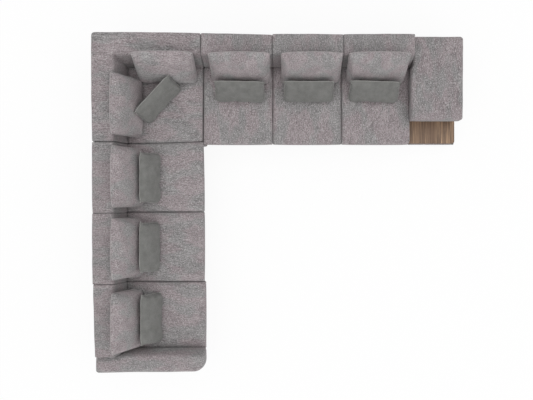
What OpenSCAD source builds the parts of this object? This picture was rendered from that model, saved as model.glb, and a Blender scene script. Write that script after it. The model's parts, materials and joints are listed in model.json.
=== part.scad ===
/* [Plan] */
// Front-to-rear depth of every module, and the side of the square corner module
depth = 1060; // [1000:5:1140]
// Width of one straight seat module, seam to seam
module_w = 700; // [660:5:780]
// Extra width of the last seat, beside the end arm
end_extra = 16; // [4:2:40]
// Width of the console module
console_w = 490; // [450:5:560]
// Gap between two neighbouring modules
module_gap = 6; // [4:1:10]

/* [Heights] */
// Height of the feet
foot_h = 35; // [25:1:60]
// Top of the upholstered bases, and of the console board
base_top = 250; // [230:5:280]
// Top of the seat cushions
seat_h = 420; // [395:5:450]
// Top of the fixed backs
back_h = 710; // [680:5:760]
// Top of the end arm
arm_h = 600; // [570:5:640]
// Top of the arm pad on the console
pad_h = 580; // [550:5:620]

/* [Backs] */
// Thickness of a back at the seat
back_t = 280; // [260:5:310]
// Lean of the inner face of the backs and of the end arm, in degrees
back_lean = 15; // [10:1:18]
// Radius along the inner top edge of a back
back_in_r = 30; // [15:1:45]
// Radius along the rear top edge of a back
back_out_r = 20; // [10:1:35]
// Radius at the ends of a back
back_end_r = 12; // [6:1:25]
// Radius of the upright edge at the sofa's outer corner
corner_r = 40; // [20:2:70]

/* [Seats] */
// Radius along the top edges of a seat cushion
seat_edge = 26; // [15:1:40]
// Crown of a seat cushion in front of the loose cushions
seat_crown = 10; // [4:1:20]
// How far the sides of a seat cushion draw in between its corners
seat_draw = 3; // [1:0.5:8]
// Overhang of the seat cushion in front of its base
seat_over = 45; // [38:1:60]
// How far the front of a seat cushion draws in down to its underside
seat_under = 25; // [10:1:35]

/* [Back cushions] */
// Width of a loose back cushion
bc_w = 596; // [540:2:640]
// Height of a loose back cushion, seam to seam
bc_h = 500; // [460:5:540]
// Thickness of a loose back cushion at its crown
bc_t = 212; // [170:2:240]
// Lean of a loose back cushion, in degrees
bc_lean = 23; // [19:1:26]
// How far a back cushion's top seam stands from the rear plane
bc_top_y = 212; // [205:1:240]
// How deep a back cushion sinks flat on the seat
bc_sink = 25; // [15:1:35]
// Sideways place of the back cushions on the rear run, from each seat's middle
bc_rear_shift = [31, 35, -9]; // [-60:1:60]
// Sideways place of the back cushions on the left run, from each seat's middle
bc_left_shift = [6, 4, -7]; // [-60:1:60]
// Distance of the corner module's back cushions' middles from the outer corner
bc_corner = 714; // [706:2:740]

/* [Accent cushions] */
// Width of an accent cushion
ac_w = 484; // [440:2:500]
// Height of an accent cushion, seam to seam
ac_h = 300; // [260:5:310]
// Thickness of an accent cushion at its crown
ac_t = 120; // [90:2:130]
// Lean of an accent cushion, in degrees
ac_lean = 34; // [26:1:36]
// How far an accent cushion's top seam stands from the rear plane
ac_top_y = 447; // [444:1:470]
// How deep an accent cushion sinks flat on the seat
ac_sink = 10; // [6:1:16]
// Sideways place of the accent cushions on the rear run
ac_rear_shift = [24, 13, -30]; // [-50:1:50]
// Sideways place of the accent cushions on the left run
ac_left_shift = [3, 7, 0]; // [-50:1:50]
// Distance of the corner accent cushion's top seam from the outer corner
ac_corner = 822; // [820:2:860]
// Lean of the corner accent cushion, in degrees
ac_corner_lean = 22; // [18:1:28]

/* [End arm] */
// How far the end arm stands outside its seat module
arm_out = 200; // [170:5:240]
// How far the end arm swells over its seat, at seat height
arm_over = 32; // [16:2:50]
// How far the end arm stands in front of the seats
arm_front = 30; // [10:2:50]
// How far the end arm's front draws in towards the floor
arm_under = 55; // [30:1:70]
// How far the end arm's front draws in towards its top
arm_nose_in = 6; // [0:1:15]
// How far the end arm's rear end is set in
arm_rear = 14; // [0:2:40]
// Draw-in of the end arm's outer side towards the floor
arm_taper = 14; // [4:2:30]
// Further draw-in of the end arm's outer side at its top
arm_top_in = 12; // [4:1:24]
// Height of the end arm's widest place above the seats
arm_side_rise = 30; // [10:5:60]
// Radius of the end arm's front outer corner
arm_front_r = 92; // [60:2:110]
// Radius of the end arm's front inner corner
arm_front_in_r = 26; // [15:1:40]
// Radius of the end arm's rear outer corner
arm_rear_r = 18; // [10:1:30]
// Radius along the end arm's top, on the inner side
arm_top_in_r = 34; // [20:1:45]
// Radius along the end arm's top, on the outer side
arm_top_out_r = 44; // [30:1:55]
// Radius of the end arm's outer side where it is widest
arm_side_r = 60; // [30:5:120]
// Radius at the front end of the end arm's top
arm_nose_r = 40; // [25:1:55]
// Radius at the rear end of the end arm's top
arm_tail_r = 22; // [10:1:35]
// Radius along the end arm's lower edges
arm_foot_r = 12; // [6:1:20]

/* [Console] */
// Thickness of the console board
board_t = 25; // [18:1:32]
// Radius of the console board's front corners
board_r = 22; // [10:1:35]
// How far the top of the console's front stands behind the seats' fronts
console_inset = 7; // [2:1:15]
// How far the board is set in from the console's front
board_inset = 14; // [8:1:25]
// Length of the arm pad
pad_l = 800; // [740:10:860]
// How far the arm pad's rear end is set in
pad_rear = 8; // [2:1:20]
// How far the arm pad swells over the neighbouring seat
pad_over = 22; // [10:1:30]
// Radius along the top edges of the arm pad
pad_r = 42; // [25:1:55]
// Radius of the arm pad's upright corners
pad_corner_r = 52; // [30:1:70]
// Radius along the arm pad's lower front edge
pad_foot_r = 8; // [4:1:16]

/* [Frames] */
// Thickness of the base rails
rail_t = 25; // [20:1:32]
// Side of the square corner blocks in a base
block_w = 55; // [45:1:65]
// Thickness of the padded fabric on the bases
cover_t = 8; // [5:1:12]
// Widest bay that a base frame leaves between its stretchers
max_bay = 380; // [350:5:410]
// Width of the posts in the backs, the arm and the pad
post_w = 45; // [35:1:55]
// Depth of those posts
post_d = 40; // [30:1:50]
// Thickness of the underside cloth
cloth_t = 1; // [0.8:0.1:1.5]
// Height of the posts' lower ends above the underside of the base frames
post_rise = 24; // [10:1:40]
// How far the posts in the backs stop below the top
post_top_drop = 45; // [35:1:70]
// Height of the lower rail between the posts of a back above its base
ladder_rise = 60; // [30:5:120]
// Height of the backs' lower bolts above the underside of the base frames
back_bolt_rise = 60; // [50:5:90]
// Depth of the backs' upper bolts below the top of the base frames
back_bolt_drop = 40; // [30:5:60]
// Distance of the posts in the end arm from its ends
arm_post_in = 150; // [130:5:200]
// Distance of the posts in the pad from the console's sides
pad_post_side = 70; // [60:2:90]
// Distance of the posts in the pad from the pad's ends
pad_post_end = 90; // [70:5:140]

/* [Webbing] */
// Width of an elastic seat strap
strap_w = 60; // [45:5:70]
// Thickness of a strap
strap_t = 1.6; // [1.2:0.1:1.8]
// Straps that run front to rear in one seat
straps_long = 4; // [4:2:6]
// Straps that run side to side in one seat
straps_cross = 5; // [3:1:7]
// Distance beside a long strap over which a cross strap keeps level
strap_flat = 4; // [2:1:10]

/* [Fasteners] */
// Radius of a foot at the floor
foot_r = 24; // [18:1:30]
// How much wider a foot is at its top
foot_flare = 4; // [0:1:6]
// Radius of a foot's stud and of the frame bolts
bolt_r = 4; // [3:0.5:5]
// Length of the stud above a foot
stud_l = 70; // [40:5:90]
// Width of a link plate between two modules
link_w = 40; // [30:2:60]
// Thickness of a link plate
link_t = 3; // [2:0.5:5]
// Distance of the rear link plates from the rear plane
link_rear = 250; // [180:5:300]
// Distance of the front link plates from the front of the seats
link_front = 200; // [150:5:260]

/* [Hidden] */

// Small clearances: between loose cushions and what they rest on, between fixed pieces
rest_gap = 0.3;
fit = 0.3;
seat_fit = 1;
// Rise of the arm's and the pad's swell over the seat below it
swell_gap = 9;
half_gap = module_gap/2;
// Bands of faces down a seat cushion's sides
seat_bands = 2;
// Points along each rounded corner of an outline, and cells along a cushion's side
round_steps = 5;
cells = 10;
// Roundness of the seat cushion's top edges, and of the loose cushions' faces
seat_power = 8;
puff_power = 0.42;
// Share of the width by which a loose cushion's sides draw in between its corners
puff_draw = 0.035;

end_w = module_w + end_extra;
total_x = depth + 3*module_w + console_w;
total_y = depth + 2*module_w + end_w + arm_out;
base_front = depth - seat_over;
corner_front = depth - half_gap;
console_front = depth - console_inset;
frame_z0 = foot_h + cloth_t;
strap_lift = strap_t + 0.4;
frame_top = base_top - 2*strap_lift - strap_t - fit;
frame_in = cover_t + rail_t;
board_z0 = base_top - board_t;
stud_in = frame_in + block_w/2;
bore_r = bolt_r + fit;
post_foot = frame_z0 + post_rise;
link_y = [link_rear, depth - link_front];
link_off = half_gap + cover_t + rail_t/2;
link_bolt_r = 3;
link_bolt_l = 40;
link_head_t = 3;
head_r = 8;
head_t = 5;
stud_seat = 12;
fabric = [0.56, 0.53, 0.53];
accent_grey = [0.45, 0.44, 0.43];
walnut = [0.46, 0.36, 0.28];
timber = [0.80, 0.67, 0.48];
black = [0.10, 0.10, 0.10];
steel = [0.65, 0.66, 0.68];
web_tan = [0.50, 0.42, 0.33];

// Outline with rounded corners, from points [x, y, radius]
function unit(v) = v/norm(v);
function turn_from(a, b) = let (d = b - a) d > 180 ? d - 360 : d < -180 ? d + 360 : d;
function corner_arc(p, before, after) =
    let (
        c = [p.x, p.y],
        u = unit([before.x, before.y] - c),
        v = unit([after.x, after.y] - c),
        half = acos(u*v)/2,
        mid = c + unit(u + v)*p[2]/sin(half),
        start = c + u*p[2]/tan(half) - mid,
        stop = c + v*p[2]/tan(half) - mid,
        a0 = atan2(start.y, start.x),
        da = turn_from(a0, atan2(stop.y, stop.x))
    )
    [for (k = [0:round_steps]) let (a = a0 + da*k/round_steps) mid + p[2]*[cos(a), sin(a)]];
function rounded(pts) =
    let (n = len(pts))
    [for (i = [0:n - 1]) each pts[i][2] > 0
        ? corner_arc(pts[i], pts[(i + n - 1) % n], pts[(i + 1) % n])
        : [[pts[i].x, pts[i].y]]];

// Outlines seen from the side, from the front and from above, as prisms
module side_prism(pts, x0, x1)
    translate([x0, 0, 0]) rotate([90, 0, 90]) linear_extrude(x1 - x0) polygon(rounded(pts));
module front_prism(pts, y0, y1)
    translate([0, -y0, 0]) rotate([90, 0, 0]) linear_extrude(y1 - y0) polygon(rounded(pts));
module plan_prism(pts, z0, z1)
    translate([0, 0, z0]) linear_extrude(z1 - z0) polygon(rounded(pts));
module block(x0, x1, y0, y1, z0, z1)
    translate([x0, -y1, z0]) cube([x1 - x0, y1 - y0, z1 - z0]);

// Places of the modules: rear edge on local y = 0, the seat facing local -y
module in_plan() translate([-total_x/2, total_y/2, 0]) children();
function left_w(i) = i == 2 ? end_w : module_w;
module at_rear(i) in_plan() translate([depth + i*module_w, 0, 0]) children();
module at_left(i)
    in_plan() translate([0, -depth - i*module_w - left_w(i), 0]) rotate([0, 0, 90]) children();
module at_corner_left() in_plan() translate([0, -depth, 0]) rotate([0, 0, 90]) children();
module at_console() at_rear(3) children();

// Distance between the seat straps of a module, and between its stretchers
function strap_pitch(w) = (w - 2*(half_gap + frame_in))/straps_long;

// Base frame of one module: rails, stretchers and corner blocks, drilled for its bolts
module frame_box(w, top, gap0 = half_gap, front = base_front) {
    x0 = gap0 + cover_t;
    x1 = w - half_gap - cover_t;
    y0 = cover_t;
    y1 = front - cover_t;
    last = max(1, ceil((x1 - x0 - 2*rail_t)/max_bay) - 1) - 1;
    first_x = w/2 - rail_t/2 - last/2*strap_pitch(w);
    block(x0, x1, y0, y0 + rail_t, frame_z0, top);
    block(x0, x1, y1 - rail_t, y1, frame_z0, top);
    for (x = [x0, x1 - rail_t])
        block(x, x + rail_t, y0, y1, frame_z0, top);
    for (k = [0:last])
        block(first_x + k*strap_pitch(w), first_x + k*strap_pitch(w) + rail_t, y0, y1,
            frame_z0, top - 2*post_d);
    for (x = [x0 + rail_t, x1 - rail_t - block_w], y = [y0 + rail_t, y1 - rail_t - block_w])
        block(x, x + block_w, y, y + block_w, frame_z0, top);
}
function stud_places(w, gap0 = half_gap, front = base_front) =
    [for (x = [gap0 + stud_in, w - half_gap - stud_in], y = [stud_in, front - stud_in])
        [x, -y]];
module stud_bores(w, gap0 = half_gap, front = base_front)
    for (p = stud_places(w, gap0, front))
        translate([p.x, p.y, foot_h - 1]) cylinder(h = stud_l + cloth_t + 2, r = bore_r, $fn = 32);
module link_bore(x, y)
    translate([x, y, foot_h - link_t - 1])
        cylinder(h = link_t + link_bolt_l + cloth_t + 2, r = link_bolt_r + fit, $fn = 32);
module link_bores(w)
    for (x = [link_off, w - link_off], y = link_y)
        link_bore(x, -y);
module corner_link_bores()
    for (d = link_y) {
        link_bore(depth - link_off, -d);
        link_bore(d, link_off - depth);
    }
// Posts stand midway between the outer pairs of long straps
function post_places(w) =
    let (first = half_gap + frame_in + strap_pitch(w) - post_w/2)
    [first, w - first - post_w];
post_bolt_z = [frame_z0 + back_bolt_rise, frame_top - back_bolt_drop];
module post_bolt_bores(w)
    for (x = post_places(w), z = post_bolt_z)
        translate([x + post_w/2, 0, z]) rotate([90, 0, 0])
            cylinder(h = frame_in + 1, r = bore_r, $fn = 32);
module base_frame(w) color(timber) difference() {
    frame_box(w, frame_top);
    stud_bores(w);
    link_bores(w);
    post_bolt_bores(w);
}
module base_frame_corner() color(timber) in_plan() difference() {
    frame_box(depth, frame_top, 0, corner_front);
    stud_bores(depth, 0, corner_front);
    corner_link_bores();
    post_bolt_bores(depth);
    mirror([1, 1, 0]) post_bolt_bores(depth);
}

// Four padded fabric panels round a base; the front one may lean out to its top
module panels(w, top, x0 = half_gap, front = base_front, top_front = base_front) color(fabric) {
    x1 = w - half_gap;
    inner = front - cover_t;
    block(x0, x1, 0, cover_t - fit, foot_h, top);
    side_prism([[-inner - fit, foot_h, 0], [-front, foot_h, 0],
        [-max(front, top_front), top, 0], [-inner - fit, top, 0]], x0, x1);
    for (x = [x0, x1 - cover_t + fit])
        block(x, x + cover_t - fit, cover_t, inner, foot_h, top);
}

// Fixed back: sloped inner face above the seat, rounded top, channels for its posts
function back_side() =
    let (top_t = back_t - (back_h - seat_h)*tan(back_lean))
    [[0, base_top, 0], [-back_t, base_top, 0], [-back_t, seat_h, 0],
     [-top_t, back_h, back_in_r], [0, back_h, back_out_r]];
module back_ladder(w, grow) {
    z1 = back_h - post_top_drop;
    y0 = frame_in - grow;
    y1 = frame_in + post_d + grow;
    for (x = post_places(w))
        block(x - grow, x + post_w + grow, y0, y1, post_foot - grow, z1 + grow);
    for (z = [base_top + ladder_rise, z1 - post_w])
        block(post_places(w)[0] + post_w/2, post_places(w)[1] + post_w/2, y0, y1,
            z - grow, z + post_w + grow);
}
module back_block(x0, x1, r0, r1) intersection() {
    side_prism(back_side(), x0, x1);
    front_prism([[x0, 0, 0], [x1, 0, 0], [x1, back_h, r1], [x0, back_h, r0]], 0, back_t + 1);
}
module back(w) color(fabric) difference() {
    intersection() {
        back_block(half_gap, w - half_gap, back_end_r, back_end_r);
        plan_prism([[half_gap, -back_t - 1, 0], [w - half_gap, -back_t - 1, 0],
            [w - half_gap, 0, back_end_r], [half_gap, 0, back_end_r]], 0, back_h + 1);
    }
    back_ladder(w, fit);
}
// One of the corner's two backs: a full-length block cut off on the diagonal
module corner_back() difference() {
    intersection() {
        back_block(0, depth - half_gap, 0, back_end_r);
        plan_prism([[0, -back_t - 1, 0], [depth - half_gap, -back_t - 1, 0],
            [depth - half_gap, 0, back_end_r], [0, 0, corner_r]], 0, back_h + 1);
        linear_extrude(back_h + 1)
            polygon([[fit - 1, 1], [2*depth, 1], [2*depth, fit - 2*depth]]);
    }
    back_ladder(depth, fit);
}
module back_corner_rear() color(fabric) in_plan() corner_back();
module back_corner_left()
    color(fabric) in_plan() mirror([1, 1, 0]) corner_back();

// Seat cushion between x0 and x1, y0 (rear) and y1 (front): crown, eased edges, drawn-in sides
function spread(k) = sin(90*(2*k/cells - 1));
function edge_ease(t) = sqrt(max(0, 1 - pow(abs(t), seat_power)));
function hump(t) = t > 0 && t < 1 ? pow(sin(180*t), 2) : 0;
function cell_id(i, j) = i*(cells + 1) + j;
function rim() = concat(
    [for (k = [0:cells - 1]) [k, 0]], [for (k = [0:cells - 1]) [cells, k]],
    [for (k = [0:cells - 1]) [cells - k, cells]], [for (k = [0:cells - 1]) [0, cells - k]]);
function top_faces() =
    [for (i = [0:cells - 1], j = [0:cells - 1])
        let (a = cell_id(i, j), b = cell_id(i + 1, j), c = cell_id(i + 1, j + 1),
            d = cell_id(i, j + 1), same = (i < cells/2) == (j < cells/2))
        each same ? [[a, d, c], [a, c, b]] : [[a, d, b], [b, d, c]]];
module seat(x0, x1, y0, y1, is_corner) {
    mid = [(x0 + x1)/2, -(y0 + y1)/2];
    half = [(x1 - x0)/2, (y1 - y0)/2];
    function place(u, v) = [mid.x + half.x*u - seat_draw*u*(1 - v*v),
        mid.y + half.y*v - seat_draw*v*(1 - u*u)];
    function side_hump(u) = is_corner ? hump(u) : 1 - u*u;
    function top_z(u, v) = seat_h - seat_edge*(1 - edge_ease(u)*edge_ease(v))
        + seat_crown*side_hump(u)*hump(-v);
    function side_point(k, share) =
        let (p = place(spread(k[0]), spread(k[1])), z0 = top_z(spread(k[0]), spread(k[1])))
        [p.x, p.y + (!is_corner && k[1] == 0 ? seat_under*share*share : 0),
            z0 + (base_top - z0)*share];
    top = [for (i = [0:cells], j = [0:cells])
        let (u = spread(i), v = spread(j), p = place(u, v)) [p.x, p.y, top_z(u, v)]];
    sides = [for (band = [1:seat_bands], k = rim()) side_point(k, band/seat_bands)];
    n = len(top);
    m = len(rim());
    // Points round the cushion: the top's rim is band 0
    function ring_id(band, k) =
        let (q = rim()[k % m]) band == 0 ? cell_id(q[0], q[1]) : n + (band - 1)*m + k % m;
    walls = [for (band = [0:seat_bands - 1], k = [0:m - 1])
        let (a = ring_id(band, k), b = ring_id(band, k + 1), c = ring_id(band + 1, k + 1),
            d = ring_id(band + 1, k))
        each [[a, b, c], [a, c, d]]];
    middle = n + seat_bands*m;
    floor_fan = [for (k = [0:m - 1])
        [middle, ring_id(seat_bands, k), ring_id(seat_bands, k + 1)]];
    color(fabric) polyhedron(
        points = concat(top, sides, [[mid.x, mid.y, base_top]]),
        faces = concat(top_faces(), walls, floor_fan));
}
module row_seat(w, x0)
    seat(x0, w - half_gap, back_t + seat_fit, depth, false);
module seat_cushion_corner() in_plan()
    seat(back_t + seat_fit, corner_front, back_t + seat_fit, corner_front, true);

// Loose cushion: two puffed faces on one seam, sides drawn in, pressed flat where it rests
function puff(u, v) = pow(max(0, (1 - u*u)*(1 - v*v)), puff_power);
function back_plane(z) = -back_t + (z - seat_h)*tan(back_lean) - rest_gap/cos(back_lean);
function pressed(p, on_back) =
    let (z = max(p.z, seat_h + rest_gap))
    [p.x, on_back ? min(p.y, back_plane(z)) : p.y, z];
function loose_point(w, h, t, lean, y_top, sink, on_back, u, v, side) =
    let (
        x = w/2*u*(1 - puff_draw*(1 - v*v)),
        s = h/2*(1 + v*(1 - puff_draw*(1 - u*u))),
        q = side*t/2*puff(u, v),
        y = -y_top - (h - s)*sin(lean) - q*cos(lean),
        z = seat_h - sink + s*cos(lean) + q*sin(lean)
    )
    pressed([x, y, z], on_back);
module loose(w, h, t, lean, y_top, sink, on_back) {
    function at(i, j, side) =
        loose_point(w, h, t, lean, y_top, sink, on_back, spread(i), spread(j), side);
    front = [for (i = [0:cells], j = [0:cells]) at(i, j, 1)];
    rear = [for (i = [1:cells - 1], j = [1:cells - 1]) at(i, j, -1)];
    n = len(front);
    function rear_id(i, j) = i == 0 || j == 0 || i == cells || j == cells
        ? cell_id(i, j) : n + (i - 1)*(cells - 1) + j - 1;
    rear_faces = [for (i = [0:cells - 1], j = [0:cells - 1])
        let (a = rear_id(i, j), b = rear_id(i + 1, j), c = rear_id(i + 1, j + 1),
            d = rear_id(i, j + 1), same = (i < cells/2) == (j < cells/2))
        each same ? [[a, c, d], [a, b, c]] : [[a, b, d], [b, c, d]]];
    polyhedron(points = concat(front, rear), faces = concat(top_faces(), rear_faces));
}
module back_cushion(x) color(fabric) translate([x, 0, 0])
    loose(bc_w, bc_h, bc_t, bc_lean, bc_top_y, bc_sink, true);
module accent_cushion(x, y_top, lean) color(accent_grey) translate([x, 0, 0])
    loose(ac_w, ac_h, ac_t, lean, y_top, ac_sink, false);
module accent_cushion_corner()
    in_plan() rotate([0, 0, 45]) accent_cushion(0, ac_corner, ac_corner_lean);

// End arm: a lower, leaning arm that swells over its seat and is cut round the last back
arm_post_x = -half_gap - post_d;
arm_post_y = [arm_post_in, depth - arm_post_in - post_w];
arm_bolt_z = post_foot + post_w/2;
arm_widest_z = seat_h + arm_side_rise;
arm_lean_in = (arm_h - seat_h)*tan(back_lean);
module arm_ladder(grow) {
    z1 = arm_h - 2*post_top_drop;
    for (y = arm_post_y)
        block(arm_post_x - grow, grow - half_gap, y - grow, y + post_w + grow,
            post_foot - grow, z1 + grow);
    for (z = [post_foot, z1 - post_w])
        block(arm_post_x - grow, grow - half_gap, arm_post_y[0] + post_w/2,
            arm_post_y[1] + post_w/2, z - grow, z + post_w + grow);
}
module at_arm_bolts(x)
    for (y = arm_post_y)
        translate([x, -y - post_w/2, arm_bolt_z]) rotate([0, 90, 0]) children();
module arm_bolt_bores()
    at_arm_bolts(arm_post_x - 1)
        cylinder(h = post_d + 2*half_gap + frame_in + 2, r = bore_r, $fn = 32);
// The last back's room in the arm, open at the rear
module back_room() {
    rise = arm_h + back_in_r - seat_h;
    side_prism([[depth, base_top - 1, 0], [-back_t - seat_fit, base_top - 1, 0],
        [-back_t - seat_fit, seat_h, 0],
        [-back_t - seat_fit + rise*tan(back_lean), seat_h + rise, 0],
        [depth, seat_h + rise, 0]], -fit, arm_over + 1);
}
module arm_outline() intersection() {
    y1 = depth + arm_front;
    side = arm_taper - arm_out;
    front_prism([[side, foot_h, arm_foot_r], [-fit, foot_h, 0],
        [-fit, base_top + fit, 0], [arm_over, base_top + fit, 0], [arm_over, seat_h, 0],
        [arm_over - arm_lean_in, arm_h, arm_top_in_r], [side + arm_top_in, arm_h, arm_top_out_r],
        [-arm_out, arm_widest_z, arm_side_r]], arm_rear, y1);
    plan_prism([[-arm_out, -arm_rear, arm_rear_r], [-arm_out, -y1, arm_front_r],
        [arm_over, -y1, arm_front_in_r], [arm_over, -arm_rear, 0]], 0, arm_h + 1);
    side_prism([[-arm_rear, foot_h, 0], [arm_under - y1, foot_h, arm_foot_r],
        [-y1, arm_widest_z, arm_side_r], [arm_nose_in - y1, arm_h, arm_nose_r],
        [-arm_rear, arm_h, arm_tail_r]], -arm_out, arm_over);
}
module end_arm() color(fabric) at_left(2) difference() {
    arm_outline();
    back_room();
    arm_ladder(fit);
    arm_bolt_bores();
    at_arm_bolts(arm_post_x - head_t - 1) cylinder(h = head_t + 2, r = head_r + 1, $fn = 32);
}
module arm_frame() color(timber) at_left(2) difference() {
    arm_ladder(0);
    arm_bolt_bores();
}

// Console: base with a board on it, and an upholstered arm pad on the board's rear part
pad_post_x = [pad_post_side, console_w - pad_post_side - post_w];
pad_post_y = [pad_rear + pad_post_end, pad_rear + pad_l - pad_post_end - post_w];
module console_frame() color(timber) at_console() difference() {
    frame_box(console_w, board_z0);
    stud_bores(console_w);
    link_bores(console_w);
}
module console_cover()
    at_console() panels(console_w, board_z0, half_gap, base_front, console_front);
module at_pad_bolts(z)
    for (x = pad_post_x, y = pad_post_y)
        translate([x + post_w/2, -y - post_w/2, z]) children();
module pad_bolt_bores()
    at_pad_bolts(board_z0 - 1) cylinder(h = board_t + post_d + 2, r = bore_r, $fn = 32);
module console_board() color(walnut) at_console() difference() {
    plan_prism([[half_gap, -half_gap, 0], [half_gap, board_inset - console_front, board_r],
        [console_w - half_gap, board_inset - console_front, board_r],
        [console_w - half_gap, -half_gap, 0]], board_z0, base_top);
    pad_bolt_bores();
}
module pad_box(x0, z0, r_low) intersection() {
    y1 = pad_rear + pad_l;
    front_prism([[x0, z0, r_low], [console_w, z0, r_low], [console_w, pad_h, pad_r],
        [x0, pad_h, pad_r]], pad_rear, y1);
    side_prism([[-pad_rear, z0, 0], [-y1, z0, pad_foot_r], [-y1, pad_h, pad_r],
        [-pad_rear, pad_h, pad_r]], x0, console_w);
    plan_prism([[x0, -pad_rear, pad_corner_r/2], [x0, -y1, pad_corner_r],
        [console_w, -y1, pad_corner_r], [console_w, -pad_rear, pad_corner_r]], z0, pad_h);
}
module pad_ladder(grow) {
    z1 = pad_h - 2*post_top_drop;
    x = pad_post_x;
    y = pad_post_y;
    for (px = x, py = y)
        block(px - grow, px + post_w + grow, py - grow, py + post_w + grow,
            base_top - grow, z1 + grow);
    for (px = x)
        block(px - grow, px + post_w + grow, y[0], y[1] + post_w, z1 - post_w - grow, z1 + grow);
    for (py = y)
        block(x[0], x[1] + post_w, py - grow, py + post_w + grow, z1 - post_w - grow, z1 + grow);
}
module arm_pad() color(fabric) at_console() difference() {
    union() {
        pad_box(half_gap, base_top, 0);
        intersection() {
            pad_box(-pad_over, seat_h + swell_gap, pad_r/2);
            block(-pad_over - 1, console_w, back_t + swell_gap, depth, seat_h, pad_h + 1);
        }
    }
    pad_ladder(fit);
}
module pad_frame() color(timber) at_console() difference() {
    pad_ladder(0);
    pad_bolt_bores();
}

// Timber ladders inside the backs, bolted to the rear rails
module back_frame(w) difference() {
    back_ladder(w, 0);
    for (x = post_places(w), z = post_bolt_z)
        translate([x + post_w/2, 1 - frame_in, z]) rotate([90, 0, 0])
            cylinder(h = post_d + 2, r = bore_r, $fn = 32);
}
module back_frames() color(timber) {
    for (i = [0:2]) {
        at_rear(i) back_frame(module_w);
        at_left(i) back_frame(left_w(i));
    }
    in_plan() back_frame(depth);
    in_plan() mirror([1, 1, 0]) back_frame(depth);
}

// Woven elastic straps over one base: the cross straps pass over and under the long ones
module ribbon(line)
    linear_extrude(strap_w)
        polygon(concat(line, [for (i = [len(line) - 1:-1:0]) line[i] + [0, strap_t]]));
module long_straps(w, front = base_front) {
    y0 = cover_t + fit;
    y1 = front - cover_t - fit;
    line = [[-y1, 0], [-y1 + rail_t, 0], [-y1 + 2*rail_t, strap_lift],
        [-y0 - 2*rail_t, strap_lift], [-y0 - rail_t, 0], [-y0, 0]];
    for (k = [0:straps_long - 1])
        translate([half_gap + frame_in + (k + 0.5)*strap_pitch(w) - strap_w/2, 0, frame_top])
            rotate([90, 0, 90]) ribbon(line);
}
function weave_line(w, phase) =
    let (x0 = half_gap + cover_t + fit)
    concat([[x0, 0], [x0 + rail_t, 0]],
        [for (k = [0:straps_long - 1], side = [-1, 1])
            [half_gap + frame_in + (k + 0.5)*strap_pitch(w) + side*(strap_w/2 + strap_flat),
                strap_lift*((k + phase) % 2 == 0 ? 2 : 0)]],
        [[w - x0 - rail_t, 0], [w - x0, 0]]);
module cross_strap(w, y, phase)
    translate([0, strap_w/2 - y, frame_top]) rotate([90, 0, 0]) ribbon(weave_line(w, phase));
module row_webbing(w) {
    y0 = back_t/2 + block_w;
    pitch = (base_front - frame_in - block_w - y0)/straps_cross;
    long_straps(w);
    for (k = [0:straps_cross - 1])
        cross_strap(w, y0 + (k + 0.5)*pitch, k);
}
module corner_webbing() {
    long_straps(depth, corner_front);
    for (k = [0:straps_long - 1])
        cross_strap(depth, half_gap + frame_in + (k + 0.5)*strap_pitch(depth), k);
}
module seat_webbing() color(web_tan) {
    in_plan() corner_webbing();
    for (i = [0:2]) {
        at_rear(i) row_webbing(module_w);
        at_left(i) row_webbing(left_w(i));
    }
}

// Thin cloths under the bases, pierced by the studs and link bolts
module cloth_sheet(w, gap0 = half_gap, front = base_front)
    block(gap0 + cover_t, w - half_gap - cover_t, cover_t, front - cover_t, foot_h, frame_z0);
module underside_cloth(w) difference() {
    cloth_sheet(w);
    stud_bores(w);
    link_bores(w);
}
module underside_cloths() color(black) {
    in_plan() difference() {
        cloth_sheet(depth, 0, corner_front);
        stud_bores(depth, 0, corner_front);
        corner_link_bores();
    }
    for (i = [0:2]) {
        at_rear(i) underside_cloth(module_w);
        at_left(i) underside_cloth(left_w(i));
    }
    at_console() underside_cloth(console_w);
}

// Bolts: backs to rear rails, arm to its base, pad to the board
module bolt(l) {
    cylinder(h = l, r = bolt_r, $fn = 32);
    translate([0, 0, -head_t]) cylinder(h = head_t, r = head_r, $fn = 32);
}
module back_bolts(w)
    for (x = post_places(w), z = post_bolt_z)
        translate([x + post_w/2, -frame_in - post_d, z]) rotate([-90, 0, 0])
            bolt(rail_t + post_d - fit);
module frame_bolts() color(steel) {
    for (i = [0:2]) {
        at_rear(i) back_bolts(module_w);
        at_left(i) back_bolts(left_w(i));
    }
    in_plan() back_bolts(depth);
    in_plan() mirror([1, 1, 0]) back_bolts(depth);
    at_left(2) at_arm_bolts(arm_post_x) bolt(post_d + 2*half_gap + frame_in);
    at_console() at_pad_bolts(board_z0) bolt(board_t + post_d);
}

// Steel plates that link neighbouring modules under the seams, and their bolts
module at_links() {
    for (i = [0:3], y = link_y)
        at_rear(i) translate([0, -y, 0]) children();
    for (i = [0:2], y = link_y)
        at_left(i) translate([left_w(i), -y, 0]) children();
}
module link_plates() color(steel) at_links() difference() {
    translate([-link_off - link_w/2, -link_w/2, foot_h - link_t])
        cube([2*link_off + link_w, link_w, link_t]);
    for (x = [-link_off, link_off])
        link_bore(x, 0);
}
module link_bolts() color(steel) at_links()
    for (x = [-link_off, link_off])
        translate([x, 0, foot_h - link_t]) {
            cylinder(h = link_t + cloth_t + link_bolt_l, r = link_bolt_r, $fn = 32);
            translate([0, 0, -link_head_t]) cylinder(h = link_head_t, r = link_bolt_r*2, $fn = 32);
        }

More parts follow.
